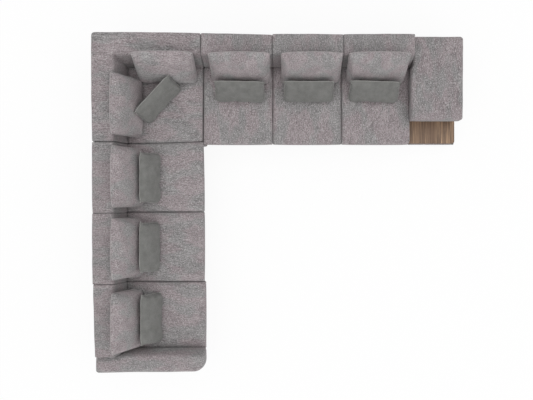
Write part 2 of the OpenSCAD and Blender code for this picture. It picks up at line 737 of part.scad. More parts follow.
// Feet under the corner blocks, each on a threaded stud
module at_studs() {
    in_plan() for (p = stud_places(depth, 0, corner_front)) translate(p) children();
    for (i = [0:2]) {
        at_rear(i) for (p = stud_places(module_w)) translate(p) children();
        at_left(i) for (p = stud_places(left_w(i))) translate(p) children();
    }
    at_console() for (p = stud_places(console_w)) translate(p) children();
}
module feet() color(black) at_studs() difference() {
    cylinder(h = foot_h, r1 = foot_r, r2 = foot_r + foot_flare, $fn = 48);
    translate([0, 0, foot_h - stud_seat]) cylinder(h = stud_seat + 1, r = bore_r, $fn = 32);
}
module foot_studs() color(steel) at_studs()
    translate([0, 0, foot_h - stud_seat])
        cylinder(h = stud_seat + cloth_t + stud_l, r = bolt_r, $fn = 32);

// The repeated modules of the two runs
module base_frame_rear_1() at_rear(0) base_frame(module_w);
module base_frame_rear_2() at_rear(1) base_frame(module_w);
module base_frame_rear_3() at_rear(2) base_frame(module_w);
module base_frame_left_1() at_left(0) base_frame(left_w(0));
module base_frame_left_2() at_left(1) base_frame(left_w(1));
module base_frame_left_3() at_left(2) color(timber) difference() {
    base_frame(left_w(2));
    arm_bolt_bores();
}
module base_cover_corner() in_plan() panels(depth, base_top, 0, corner_front);
module base_cover_rear_1() at_rear(0) panels(module_w, base_top);
module base_cover_rear_2() at_rear(1) panels(module_w, base_top);
module base_cover_rear_3() at_rear(2) panels(module_w, base_top);
module base_cover_left_1() at_left(0) panels(left_w(0), base_top);
module base_cover_left_2() at_left(1) panels(left_w(1), base_top);
module base_cover_left_3() at_left(2) color(fabric) difference() {
    panels(left_w(2), base_top);
    arm_bolt_bores();
}
module seat_cushion_rear_1() at_rear(0) row_seat(module_w, half_gap);
module seat_cushion_rear_2() at_rear(1) row_seat(module_w, half_gap);
module seat_cushion_rear_3() at_rear(2) row_seat(module_w, half_gap);
module seat_cushion_left_1() at_left(0) row_seat(left_w(0), half_gap);
module seat_cushion_left_2() at_left(1) row_seat(left_w(1), half_gap);
module seat_cushion_left_3() at_left(2) row_seat(left_w(2), arm_over + seat_fit);
module back_rear_1() at_rear(0) back(module_w);
module back_rear_2() at_rear(1) back(module_w);
module back_rear_3() at_rear(2) back(module_w);
module back_left_1() at_left(0) back(left_w(0));
module back_left_2() at_left(1) back(left_w(1));
module back_left_3() at_left(2) back(left_w(2));
module rear_back_cushion(i) at_rear(i) back_cushion(module_w/2 + bc_rear_shift[i]);
module left_back_cushion(i) at_left(i) back_cushion(left_w(i)/2 + bc_left_shift[i]);
module back_cushion_corner_rear() in_plan() back_cushion(bc_corner);
module back_cushion_corner_left() at_corner_left() back_cushion(depth - bc_corner);
module back_cushion_rear_1() rear_back_cushion(0);
module back_cushion_rear_2() rear_back_cushion(1);
module back_cushion_rear_3() rear_back_cushion(2);
module back_cushion_left_1() left_back_cushion(0);
module back_cushion_left_2() left_back_cushion(1);
module back_cushion_left_3() left_back_cushion(2);
module rear_accent(i)
    at_rear(i) accent_cushion(module_w/2 + ac_rear_shift[i], ac_top_y, ac_lean);
module left_accent(i)
    at_left(i) accent_cushion(left_w(i)/2 + ac_left_shift[i], ac_top_y, ac_lean);
module accent_cushion_rear_1() rear_accent(0);
module accent_cushion_rear_2() rear_accent(1);
module accent_cushion_rear_3() rear_accent(2);
module accent_cushion_left_1() left_accent(0);
module accent_cushion_left_2() left_accent(1);
module accent_cushion_left_3() left_accent(2);

base_frame_corner();
base_frame_rear_1();
base_frame_rear_2();
base_frame_rear_3();
base_frame_left_1();
base_frame_left_2();
base_frame_left_3();
base_cover_corner();
base_cover_rear_1();
base_cover_rear_2();
base_cover_rear_3();
base_cover_left_1();
base_cover_left_2();
base_cover_left_3();
seat_cushion_corner();
seat_cushion_rear_1();
seat_cushion_rear_2();
seat_cushion_rear_3();
seat_cushion_left_1();
seat_cushion_left_2();
seat_cushion_left_3();
back_corner_rear();
back_corner_left();
back_rear_1();
back_rear_2();
back_rear_3();
back_left_1();
back_left_2();
back_left_3();
back_cushion_corner_rear();
back_cushion_corner_left();
back_cushion_rear_1();
back_cushion_rear_2();
back_cushion_rear_3();
back_cushion_left_1();
back_cushion_left_2();
back_cushion_left_3();
accent_cushion_corner();
accent_cushion_rear_1();
accent_cushion_rear_2();
accent_cushion_rear_3();
accent_cushion_left_1();
accent_cushion_left_2();
accent_cushion_left_3();
end_arm();
arm_frame();
console_frame();
console_cover();
console_board();
arm_pad();
pad_frame();
back_frames();
seat_webbing();
underside_cloths();
frame_bolts();
link_plates();
link_bolts();
feet();
foot_studs();
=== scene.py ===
"""Corner sofa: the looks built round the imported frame, in metres."""
import json
from math import cos, pi, radians, sin, tan

import bpy
import numpy as np
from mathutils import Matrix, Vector


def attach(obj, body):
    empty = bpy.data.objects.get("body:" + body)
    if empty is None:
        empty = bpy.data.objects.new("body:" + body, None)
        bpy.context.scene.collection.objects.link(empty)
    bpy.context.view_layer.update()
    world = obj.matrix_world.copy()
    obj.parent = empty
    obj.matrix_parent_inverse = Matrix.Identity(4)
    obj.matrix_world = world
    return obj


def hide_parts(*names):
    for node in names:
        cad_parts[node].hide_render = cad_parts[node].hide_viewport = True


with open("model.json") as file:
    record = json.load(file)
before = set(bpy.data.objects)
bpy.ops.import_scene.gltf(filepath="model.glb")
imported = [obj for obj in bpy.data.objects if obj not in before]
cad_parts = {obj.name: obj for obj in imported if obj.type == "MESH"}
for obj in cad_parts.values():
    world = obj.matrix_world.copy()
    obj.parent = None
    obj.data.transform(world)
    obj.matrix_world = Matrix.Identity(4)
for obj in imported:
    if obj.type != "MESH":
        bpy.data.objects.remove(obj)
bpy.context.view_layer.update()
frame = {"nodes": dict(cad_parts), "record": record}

# Sizes of the frame
TOTAL_X, TOTAL_Y = 3.650, 3.376
DEPTH = 1.060
MODULE_WIDTH = 0.700
END_WIDTH = 0.716
CONSOLE_WIDTH = 0.490
PAD_DEPTH = 0.808
HALF_GAP = 0.003
BASE_FRONT = 1.015
CORNER_FRONT = DEPTH - HALF_GAP
CONSOLE_FRONT = 1.053
FOOT_Z, BOARD_Z, BASE_Z, SEAT_Z = 0.035, 0.225, 0.250, 0.420
PAD_Z, ARM_Z, BACK_Z = 0.580, 0.600, 0.710
BACK_THICKNESS = 0.280
BACK_SLOPE = radians(15)
ARM_THICKNESS = 0.200
ARM_FRONT = DEPTH + 0.030
SEAT_CLEAR = 0.001
SEAT_REAR = BACK_THICKNESS + SEAT_CLEAR
REST_GAP = 0.0003

# Firm upholstery. Neighbours press on each other, by PRESS past the middle of their gap
PRESS = 0.0003
SEAT_PROUD = 0.004
SEAT_UNDER = 0.025
# What sets single seats apart. Those with low, high or ahead stand slightly turned
SEATS = {
    "corner": dict(x0=SEAT_REAR, front=CORNER_FRONT, grooves=(0.034, 0.046),
                   high=(-0.004, -0.010), ahead=(-0.004, -0.028)),
    "rear_1": dict(grooves=(0.046, 0.010), low=(-0.004, -0.010)),
    "rear_2": dict(grooves=(0.010, 0.012)),
    "rear_3": dict(grooves=(0.012, 0.034), free_corner=0.024),
    "left_1": dict(low=(0.007, 0.011), high=(0.004, 0.028), ahead=(0, -0.012)),
    "left_2": dict(high=(0.007, 0.011)),
    "left_3": dict(x0=0.033, front=DEPTH + 0.020, tug=0.030),
}
# How far each back's upper edge stands behind its base, at its low x end and its high x end
BACK_OUT = {"rear_1": (0.007, -0.009), "rear_2": (-0.001, -0.004), "rear_3": (-0.003, 0.0),
            "left_1": (0.006, 0.010), "left_2": (0.004, 0.008), "left_3": (-0.021, -0.002)}
CORNER_OUT = 0.017
# Profiles of the end arm: height, and how far out a face stands there
ARM_OUTSIDE = ((FOOT_Z, -0.184), (0.30, -0.195), (0.45, -0.197), (0.54, -0.184), (ARM_Z, -0.164))
ARM_SWELL = ((BASE_Z, -REST_GAP), (BASE_Z + 0.02, 0.026), (0.36, 0.037), (0.42, 0.045),
             (0.48, 0.037), (0.54, 0.021), (ARM_Z, 0.000))
ARM_NOSE = ((FOOT_Z, 1.035), (0.45, ARM_FRONT), (ARM_Z, ARM_FRONT - 0.006))

# Loose cushions: width, height, thickness, lean, how far the upper edge stands from the rear of
# the module, how far the foot is pressed into the seat, and how far the whole stands forward
BACK_CUSHION = dict(w=0.596, h=0.500, t=0.212, lean=radians(23), top=0.212, sink=0.025, ahead=0.0)
CORNER_CUSHION = dict(BACK_CUSHION, top=0.203)
ACCENT = dict(w=0.484, h=0.300, t=0.120, top=0.447, sink=0.010, ahead=0.009)
ACCENT_REAR = dict(ACCENT, lean=radians(31), ahead=0.015)
ACCENT_LEFT = (dict(ACCENT, lean=radians(28.5)), dict(ACCENT, lean=radians(27.5)),
               dict(ACCENT, lean=radians(31.5), ahead=0.017))
CORNER_ACCENT = dict(ACCENT, lean=radians(25), top=0.822, ahead=-0.011)
CORNER_CUSHION_X = 0.362
CORNER_ACCENT_X = -0.046
CORNER_ACCENT_TURN = radians(2.3)

# Mesh cells, and seeds of the slight unevenness
CELL, FINE_CELL = 0.020, 0.016
BASE_SEED, SEAT_SEED, BACK_SEED = 10, 20, 30
CORNER_SEED, CONSOLE_SEED, ARM_SEED, PAD_SEED = 40, 50, 71, 83
TINY = 1e-9

# The photograph in its pixels: its size, the pixel straight below the camera, the focal length
PHOTO_WIDTH, PHOTO_HEIGHT = 533, 400
BELOW_X, BELOW_Y = 286, 205
FOCAL_LENGTH = 730
SENSOR = 36
CAMERA_AT = (0.070, 0.008, 7.85)

# Light: the sun, the light from all round, and the floor's tones
SUN_FROM = Vector((0.10, -0.32, 0.92))
SUN_STRENGTH = 1.50
SUN_SPREAD = radians(100)
ROOM_STRENGTH = 0.56
FLOOR_HALF = 30
FLOOR_TONE = 0.88
FLOOR_SEEN_TONE = 0.09
FLOOR_GLOW = 0.905


# Places: a turn about z and a shift, from a module's own frame to the shared one

def place(angle=0.0, x=0.0, y=0.0):
    c, s = cos(angle), sin(angle)
    turn = np.array([[c, s, 0], [-s, c, 0], [0, 0, 1]])
    shift = np.array([x - TOTAL_X / 2, y + TOTAL_Y / 2, 0])
    return lambda p: p @ turn + shift


def module_width(run, i):
    return END_WIDTH if run == "left" and i == 2 else MODULE_WIDTH


def at_rear(i):
    return place(x=DEPTH + i * MODULE_WIDTH)


def at_left(i):
    return place(pi / 2, y=-DEPTH - i * MODULE_WIDTH - module_width("left", i))


AT_RUN = {"rear": at_rear, "left": at_left}
AT_CORNER = place()
AT_CORNER_LEFT = place(pi / 2, y=-DEPTH)
AT_DIAGONAL = place(pi / 4 + CORNER_ACCENT_TURN)
AT_CONSOLE = at_rear(3)


# Mesh makers

def smooth_step(t):
    """0 up to t = 0, 1 from t = 1, and a smooth rise between."""
    t = np.clip(t, 0, 1)
    return t * t * (3 - 2 * t)


def outer_tenth(u):
    """A rise from 0 to 1 between u = 0.9 and u = 1."""
    return smooth_step((u - 0.9) * 10)


def soft_max(a, b, ease=0.002):
    """The larger of two, with a soft turn from one to the other."""
    return b + np.logaddexp(0, (a - b) / ease) * ease


def onto_circle(a, b):
    """The factor that brings points of a square corner onto its quarter circle."""
    return np.maximum(a, b) / np.maximum(np.hypot(a, b), TINY)


def at_heights(z, profile):
    return np.interp(z, *zip(*profile))


def ripples(p, length, seed):
    """A smooth, seeded unevenness between about -1 and 1."""
    waves, gain = 7, 1.8
    rng = np.random.default_rng(seed)
    out = np.zeros(len(p))
    for _ in range(waves):
        way = rng.normal(size=3)
        way *= 2 * pi / (length * rng.uniform(0.7, 1.6)) / np.linalg.norm(way)
        out += np.sin(p @ way + rng.uniform(0, 2 * pi))
    return out / waves * gain


def grid_quads(ids):
    """The quads between the points of a grid."""
    return np.stack([ids[:-1, :-1], ids[1:, :-1], ids[1:, 1:], ids[:-1, 1:]], axis=-1).reshape(-1, 4)


def tube_quads(n, m):
    """The quads of a tube that closes on itself: n rings of m points each."""
    return grid_quads(np.pad(np.arange(n * m).reshape(n, m), ((0, 1), (0, 1)), mode="wrap"))


def axis_steps(lo, hi, r_lo, r_hi, cell, band=5):
    """Steps along one axis: even ones, and band closer ones along each rounded edge."""
    inner = np.linspace(lo + r_lo, hi - r_hi, max(2, int((hi - lo - r_lo - r_hi) / cell) + 1))
    steps = np.arange(band) / band
    low = lo + r_lo * steps if r_lo else []
    high = hi - r_hi * steps[::-1] if r_hi else []
    return np.concatenate([low, inner, high])


def box_skin(steps):
    """The lattice points on the outside of a box, and its quads, facing outwards."""
    def side(axis, end):
        return tuple(end if a == axis else slice(None) for a in range(3))

    ends = [(axis, end) for axis in range(3) for end in (0, -1)]
    skin = np.zeros([len(s) for s in steps], bool)
    for axis, end in ends:
        skin[side(axis, end)] = True
    ids = np.full(skin.shape, -1)
    ids[skin] = np.arange(skin.sum())
    sides = {}
    for axis, end in ends:
        quads = grid_quads(ids[side(axis, end)])
        # Two axes in cyclic order turn anticlockwise about the third
        outward = (end == -1) == (axis != 1)
        sides[axis, end] = quads if outward else quads[:, ::-1]
    return np.stack(np.meshgrid(*steps, indexing="ij"), axis=-1)[skin], sides


def block(lo, hi, radii, open_low_x=False):
    """A box of quads with rounded edges. radii holds a low and a high radius for each axis,
    and no edge is rounded on a side whose radius is 0."""
    lo, hi = np.array(lo), np.array(hi)
    radii = np.array(radii)
    p, sides = box_skin([axis_steps(lo[a], hi[a], *radii[a], CELL) for a in range(3)])
    if open_low_x:
        del sides[0, 0]
    core = np.clip(p, lo + radii[:, 0], hi - radii[:, 1])
    r = np.where(p < core, radii[:, 0], radii[:, 1])
    d = (p - core) / np.maximum(r, TINY)
    size = np.linalg.norm(d, axis=1, keepdims=True)
    d = np.where(size > 0, d / np.maximum(size, TINY), 0)
    return core + d * r, np.vstack(list(sides.values()))


def round_box(lo, hi, corners, top, foot):
    """A box whose four upright corners have their own radii, in the order (low x, low y),
    (high x, low y), (high x, high y), (low x, high y), and whose top and foot are rounded."""
    (x0, y0, z0), (x1, y1, z1) = lo, hi
    near = [max(corners[0], corners[3]), max(corners[1], corners[2]),
            max(corners[0], corners[1]), max(corners[2], corners[3])]
    p, sides = box_skin([axis_steps(x0, x1, near[0], near[1], FINE_CELL, band=8),
                         axis_steps(y0, y1, near[2], near[3], FINE_CELL, band=8),
                         axis_steps(z0, z1, foot, top, FINE_CELL, band=6)])
    x, y, z = p.T
    depths = np.stack([x - x0, x1 - x, y - y0, y1 - y])
    way = np.array([[-1, 0], [1, 0], [0, -1], [0, 1]], float)[depths.argmin(0)]
    depth = depths.min(0)
    # At the top and the foot a square corner of the section goes onto a quarter circle
    out, rise = np.zeros(len(p)), np.zeros(len(p))
    for r, level, side in ((top, z1, 1), (foot, z0, -1)):
        a = np.clip(r - depth, 0, None)
        b = np.clip(side * (z - level) + r, 0, None)
        k = np.where((a > 0) & (b > 0), onto_circle(a, b), 1)
        out += a * (1 - k)
        rise -= side * b * (1 - k)
    q = np.column_stack([x - way[:, 0] * out, y - way[:, 1] * out, z + rise])
    centres = ((x0, y0, -1, -1), (x1, y0, 1, -1), (x1, y1, 1, 1), (x0, y1, -1, 1))
    for (cx, cy, sx, sy), r in zip(centres, corners):
        vx, vy = (x - cx) * sx + r, (y - cy) * sy + r
        here = (vx > 0) & (vy > 0)
        size = np.hypot(vx, vy)[here]
        reach = np.maximum(vx, vy)[here] - out[here]
        q[here, 0] = cx + sx * (vx[here] / size * reach - r)
        q[here, 1] = cy + sy * (vy[here] / size * reach - r)
    return q, np.vstack(list(sides.values()))


def ring(x0, x1, y0, y1, r, profile):
    """A wall along a rounded rectangle. profile holds (how far inside the outline, height)."""
    steps, pitch = 4, 0.035
    path, ways = [], []
    centres = ((x1 - r, y1 - r), (x0 + r, y1 - r), (x0 + r, y0 + r), (x1 - r, y0 + r))
    for quarter, (cx, cy) in enumerate(centres):
        for k in range(steps + 1):
            a = radians(90 * quarter + 90 / steps * k)
            path.append((cx + r * cos(a), cy + r * sin(a)))
            ways.append((cos(a), sin(a)))
    path, ways = np.array(path), np.array(ways)
    points, turns = [], []
    for i in range(len(path)):
        j = (i + 1) % len(path)
        n = max(1, int(np.linalg.norm(path[j] - path[i]) / pitch))
        for k in range(n):
            points.append(path[i] + (path[j] - path[i]) * k / n)
            turns.append(ways[i] + (ways[j] - ways[i]) * k / n)
    verts = [[*(point - turn * d), z] for point, turn in zip(points, turns) for d, z in profile]
    return np.array(verts), tube_quads(len(points), len(profile))


def make(name, verts, faces, material, body, nodes=(), levels=0):
    """A piece of the scene, which stands for nodes. levels is how often it is subdivided."""
    mesh = bpy.data.meshes.new(name)
    mesh.from_pydata(np.asarray(verts).tolist(), [], [list(map(int, f)) for f in faces])
    mesh.update()
    mesh.polygons.foreach_set("use_smooth", [True] * len(mesh.polygons))
    mesh.materials.append(material)
    piece = bpy.data.objects.new(name, mesh)
    bpy.context.scene.collection.objects.link(piece)
    if levels:
        sub = piece.modifiers.new("Subdivision", "SUBSURF")
        sub.levels = sub.render_levels = levels
    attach(piece, body)
    if nodes:
        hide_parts(*nodes)


def make_firm(name, verts, faces, material, nodes=None):
    """A piece of firm upholstery. Unless nodes says otherwise, it stands for the node of its
    own name."""
    make(name, verts, faces, material, "sofa", nodes or (name,))


# Materials

def srgb(r, g, b):
    out = []
    for c in (r, g, b):
        c /= 255
        out.append(c / 12.92 if c <= 0.04045 else ((c + 0.055) / 1.055) ** 2.4)
    return (*out, 1.0)


class Nodes:
    """A material's node tree, with short calls for the nodes that the materials share."""

    def __init__(self, name):
        self.material = bpy.data.materials.new(name)
        self.material.use_nodes = True
        self.tree = self.material.node_tree
        self.shader = self.tree.nodes["Principled BSDF"]
        self.where = self.tree.nodes.new("ShaderNodeTexCoord").outputs["Object"]

    def feed(self, socket, value):
        """Links a socket to another one, or sets its value."""
        if isinstance(value, bpy.types.NodeSocket):
            self.tree.links.new(value, socket)
        else:
            socket.default_value = value

    def scaled(self, scale):
        m = self.tree.nodes.new("ShaderNodeMapping")
        m.inputs["Scale"].default_value = scale
        self.feed(m.inputs["Vector"], self.where)
        return m.outputs["Vector"]

    def noise(self, vector, scale=1.0, detail=2.0, rough=0.5, distortion=0.0):
        n = self.tree.nodes.new("ShaderNodeTexNoise")
        n.inputs["Scale"].default_value = scale
        n.inputs["Detail"].default_value = detail
        n.inputs["Roughness"].default_value = rough
        n.inputs["Distortion"].default_value = distortion
        self.feed(n.inputs["Vector"], vector)
        return n.outputs["Fac"]

    def wave(self, scale, way):
        n = self.tree.nodes.new("ShaderNodeTexWave")
        n.bands_direction = way
        n.inputs["Scale"].default_value = scale
        n.inputs["Distortion"].default_value = 0.6
        n.inputs["Detail"].default_value = 1.0
        n.inputs["Detail Scale"].default_value = 0.7
        self.feed(n.inputs["Vector"], self.where)
        return n.outputs["Fac"]

    def weave(self, scale, ways):
        """Waves in several ways, added up."""
        total = self.wave(scale, ways[0])
        for way in ways[1:]:
            total = self.math("ADD", total, self.wave(scale, way))
        return total

    def ramp(self, fac, stops):
        n = self.tree.nodes.new("ShaderNodeValToRGB")
        e = n.color_ramp.elements
        while len(e) < len(stops):
            e.new(0.5)
        for i, (at, colour) in enumerate(stops):
            e[i].position = at
            e[i].color = colour if hasattr(colour, "__len__") else (colour, colour, colour, 1)
        self.feed(n.inputs["Fac"], fac)
        return n.outputs["Color"]

    def rise(self, fac, low, high):
        """From 0 to 1 as fac goes from low to high."""
        return self.ramp(fac, [(low, 0.0), (high, 1.0)])

    def fall(self, fac, low, high, start=1.0):
        """From start to 0 as fac goes from low to high."""
        return self.ramp(fac, [(low, start), (high, 0.0)])

    def mix(self, fac, a, b, kind="MIX"):
        n = self.tree.nodes.new("ShaderNodeMix")
        n.data_type = "RGBA"
        n.blend_type = kind
        # A mix of colours has its factor at socket 0, its colours at 6 and 7, its result at 2
        for socket, value in ((0, fac), (6, a), (7, b)):
            self.feed(n.inputs[socket], value)
        return n.outputs[2]

    def math(self, kind, a, b):
        n = self.tree.nodes.new("ShaderNodeMath")
        n.operation = kind
        for socket, value in zip(n.inputs, (a, b)):
            self.feed(socket, value)
        return n.outputs[0]

    def cover(self, ground, share, strength, colour):
        """The ground, covered by a colour where share is high."""
        return self.mix(self.math("MULTIPLY", share, strength), ground, colour)

    def bump(self, height, distance, strength=1.0):
        n = self.tree.nodes.new("ShaderNodeBump")
        n.inputs["Distance"].default_value = distance
        n.inputs["Strength"].default_value = strength
        self.feed(n.inputs["Height"], height)
        self.feed(self.shader.inputs["Normal"], n.outputs["Normal"])

    def finish(self, colour, **values):
        self.feed(self.shader.inputs["Base Color"], colour)
        for key, value in values.items():
            self.shader.inputs[key.replace("_", " ")].default_value = value
        return self.material


def chenille(name, along_x, light=1.0, grain=1.08, cloud=0.65):
    """Heathered weave: grey and mauve patches, streaks one way, pale flecks, dark pits.
    light scales its colour, and the darker and lighter copies use it for painted shade and painted
    light; grain scales its fine unevenness and cloud its wide one."""
    n = Nodes(name)

    def dashes(across, along, detail=1.0):
        scale = (along, across, across) if along_x else (across, along, across)
        return n.noise(n.scaled(scale), detail=detail)

    def tint(colour, k):
        return n.mix(1.0, colour, (k, k, k, 1), "MULTIPLY")

    patches = n.rise(dashes(7.5, 3.4, 2.0), 0.42, 0.55)
    ground = tint(n.mix(patches, srgb(147, 145, 145), srgb(156, 146, 148)), light)
    clouds = n.rise(dashes(9, 5, 2.0), 0.34, 0.66)
    ground = n.mix(clouds, tint(ground, 1 - 0.15 * cloud), tint(ground, 1 + 0.12 * cloud))
    streaks = n.rise(dashes(150, 16, 2.0), 0.36, 0.64)
    ground = n.mix(streaks, tint(ground, 1 - 0.20 * grain), tint(ground, 1 + 0.16 * grain))
    flecks = n.rise(dashes(150, 70), 0.54, 0.66)
    ground = n.cover(ground, flecks, 0.56 * grain, srgb(206, 202, 202))
    pits = n.fall(dashes(160, 84), 0.34, 0.46)
    ground = n.cover(ground, pits, 0.60 * grain, srgb(88, 82, 84))
    nap = n.noise(n.where, 160, 3, 0.65)
    n.bump(n.math("ADD", n.math("MULTIPLY", n.weave(95, "XYZ"), 0.35), nap), 0.0016, 0.8)
    return n.finish(ground, Roughness=0.9, Sheen_Weight=0.22, Sheen_Roughness=0.45,
                    Specular_IOR_Level=0.2)


def plain_cloth(name, light, dark, weave_scale=170, bump=0.0006):
    """Smooth, fine weave between two tones."""
    n = Nodes(name)
    tone = n.ramp(n.noise(n.where, 14, 5, 0.7), [(0.34, dark), (0.66, light)])
    nap = n.noise(n.where, 420, 2, 0.6)
    tone = n.cover(tone, nap, 0.18, (0.55, 0.55, 0.54, 1))
    n.bump(n.math("ADD", n.weave(weave_scale, "XZ"), nap), bump)
    return n.finish(tone, Roughness=0.82, Sheen_Weight=0.18, Sheen_Roughness=0.5,
                    Specular_IOR_Level=0.25)


def walnut():
    """Brown grain along y: rings, wide darker arches, dark lines and pores."""
    n = Nodes("walnut")

    def grain(across, along, detail, rough=0.5, distortion=0.0):
        return n.noise(n.scaled((across, along, across)), 1.0, detail, rough, distortion)

    arches = grain(11, 1.3, 4, 0.55, 0.5)
    rings = grain(88, 2.6, 4, 0.62, 0.4)
    lines = n.fall(grain(150, 2.0, 1), 0.36, 0.44)
    pores = n.fall(grain(420, 14, 2), 0.28, 0.40)
    tone = n.ramp(rings, [(0.34, srgb(72, 53, 39)), (0.46, srgb(122, 97, 75)),
                          (0.56, srgb(150, 121, 94)), (0.70, srgb(184, 154, 123))])
    tone = n.mix(n.fall(arches, 0.42, 0.56, 0.65), tone, srgb(98, 73, 55))
    tone = n.cover(tone, lines, 0.75, srgb(70, 51, 37))
    tone = n.cover(tone, pores, 0.45, srgb(66, 48, 38))
    n.bump(n.math("ADD", rings, n.math("MULTIPLY", pores, -1.0)), 0.0003)
    return n.finish(tone, Roughness=0.48, Coat_Weight=0.12, Coat_Roughness=0.4)


def softwood():
    n = Nodes("softwood")
    rings = n.noise(n.scaled((26, 26, 6)), 1.0, 4, 0.6, 0.4)
    tone = n.ramp(rings, [(0.34, srgb(186, 146, 98)), (0.5, srgb(214, 178, 128)),
                          (0.66, srgb(228, 198, 152))])
    n.bump(rings, 0.0004)
    return n.finish(tone, Roughness=0.7)


def webbing():
    n = Nodes("webbing")
    ribs = n.wave(120, "DIAGONAL")
    tone = n.ramp(ribs, [(0.2, srgb(96, 78, 58)), (0.7, srgb(150, 128, 98))])
    n.bump(ribs, 0.0005)
    return n.finish(tone, Roughness=0.85)


def zinc():
    n = Nodes("zinc")
    flow = n.noise(n.where, 60, 3, 0.6)
    tone = n.ramp(flow, [(0.3, srgb(150, 152, 156)), (0.7, srgb(196, 198, 202))])
    n.bump(flow, 0.0001)
    return n.finish(tone, Metallic=1.0, Roughness=0.38)


def black_plastic():
    n = Nodes("black_plastic")
    grain = n.noise(n.where, 600, 2, 0.5)
    tone = n.ramp(grain, [(0.3, srgb(26, 26, 27)), (0.7, srgb(38, 38, 40))])
    n.bump(grain, 0.0002)
    return n.finish(tone, Roughness=0.55)


CHENILLE_REAR = chenille("chenille_rear", False)
CHENILLE_LEFT = chenille("chenille_left", True)
# The pad's copy is darker, light 0.93: painted shade, so the raised pad shows no brighter than the
# seats.
CHENILLE_PAD_SHADED = chenille("chenille_pad_painted_shade", False, light=0.93)
# The corner seat's copy is darker, light 0.97: painted shade of the enclosed corner.
CHENILLE_CORNER_SHADED = chenille("chenille_corner_painted_shade", True, light=0.97)
# The back cushions' copies are lighter, light 1.07 and 1.09: painted light on their leaning faces; grain
# and cloud only change the weave's unevenness.
CUSHION_REAR_LIT = chenille("chenille_cushion_rear_painted_light", False, light=1.07, grain=0.95, cloud=0.75)
CUSHION_LEFT_LIT = chenille("chenille_cushion_left_painted_light", True, light=1.09, grain=1.10, cloud=0.55)
# The welts are much lighter than their cushions: painted highlight on the seams.
WELT_HIGHLIGHT_CLOTH = plain_cloth("welt_highlight_cloth", srgb(184, 176, 177), srgb(170, 163, 164))
ACCENT_CLOTH = plain_cloth("accent_cloth", srgb(122, 122, 119), srgb(101, 101, 98))
SEAM_HIGHLIGHT_CLOTH = plain_cloth("accent_seam", srgb(176, 176, 172), srgb(160, 160, 156))
BLACK_CLOTH = plain_cloth("black_cloth", srgb(34, 34, 34), srgb(24, 24, 24), 260, 0.0003)
CAD_MATERIALS = {
    "frame_timber": softwood(), "console_wood": walnut(), "webbing": webbing(),
    "underside_cloth": BLACK_CLOTH, "steel": zinc(), "foot_plastic": black_plastic(),
}
SLOTS = {row["node"]: row["material_slot"] for row in frame["record"]["subparts"]}
for node, piece in frame["nodes"].items():
    if SLOTS[node] in CAD_MATERIALS:
        piece.data.materials.clear()
        piece.data.materials.append(CAD_MATERIALS[SLOTS[node]])


# Firm upholstery, in each module's own frame

# The faces of a back lie on either side of this, measured from the module's rear
BACK_MIDDLE = 0.1


def back_thickness(z):
    return BACK_THICKNESS - np.maximum(0, z - SEAT_Z) * tan(BACK_SLOPE)


def soften(p, seed, size=0.0012):
    """A slight unevenness of stuffed fabric, the same all through a piece."""
    length = 0.22
    q = p.copy()
    for a in range(3):
        q[:, a] += size * ripples(p, length, seed * 3 + a)
    return q


def press(p, u, lo_z, hi_z, ease):
    """Neighbours press on each other below their edges, which closes the gap between them. A
    smaller ease leaves a shallower groove. It may differ from side to side."""
    foot_ease = 0.03
    share = smooth_step((p[:, 2] - lo_z) / foot_ease) * smooth_step((hi_z - p[:, 2]) / ease)
    p[:, 0] += (HALF_GAP + PRESS) * share * np.sign(u) * outer_tenth(np.abs(u))


def shoulder(p, x0, x1, drop, reach):
    """How far the top falls off towards both sides, drop at most."""
    near = np.clip(1 - np.minimum(p[:, 0] - x0, x1 - p[:, 0]) / reach, 0, 1)
    return drop * near ** 2


def turned_slightly(p, x0, x1, front, low, high, ahead):
    """Moves the sides of a seat that stands slightly turned: low and high say how far each side
    moves along x at the rear and at the front, ahead how far the front moves at either side."""
    a = (p[:, 0] - x0) / (x1 - x0)
    b = (-p[:, 1] - SEAT_REAR) / (front - SEAT_REAR)
    p[:, 0] += (1 - a) * (low[0] + (low[1] - low[0]) * b) + a * (high[0] + (high[1] - high[0]) * b)
    p[:, 1] -= b * (ahead[0] + (ahead[1] - ahead[0]) * a)


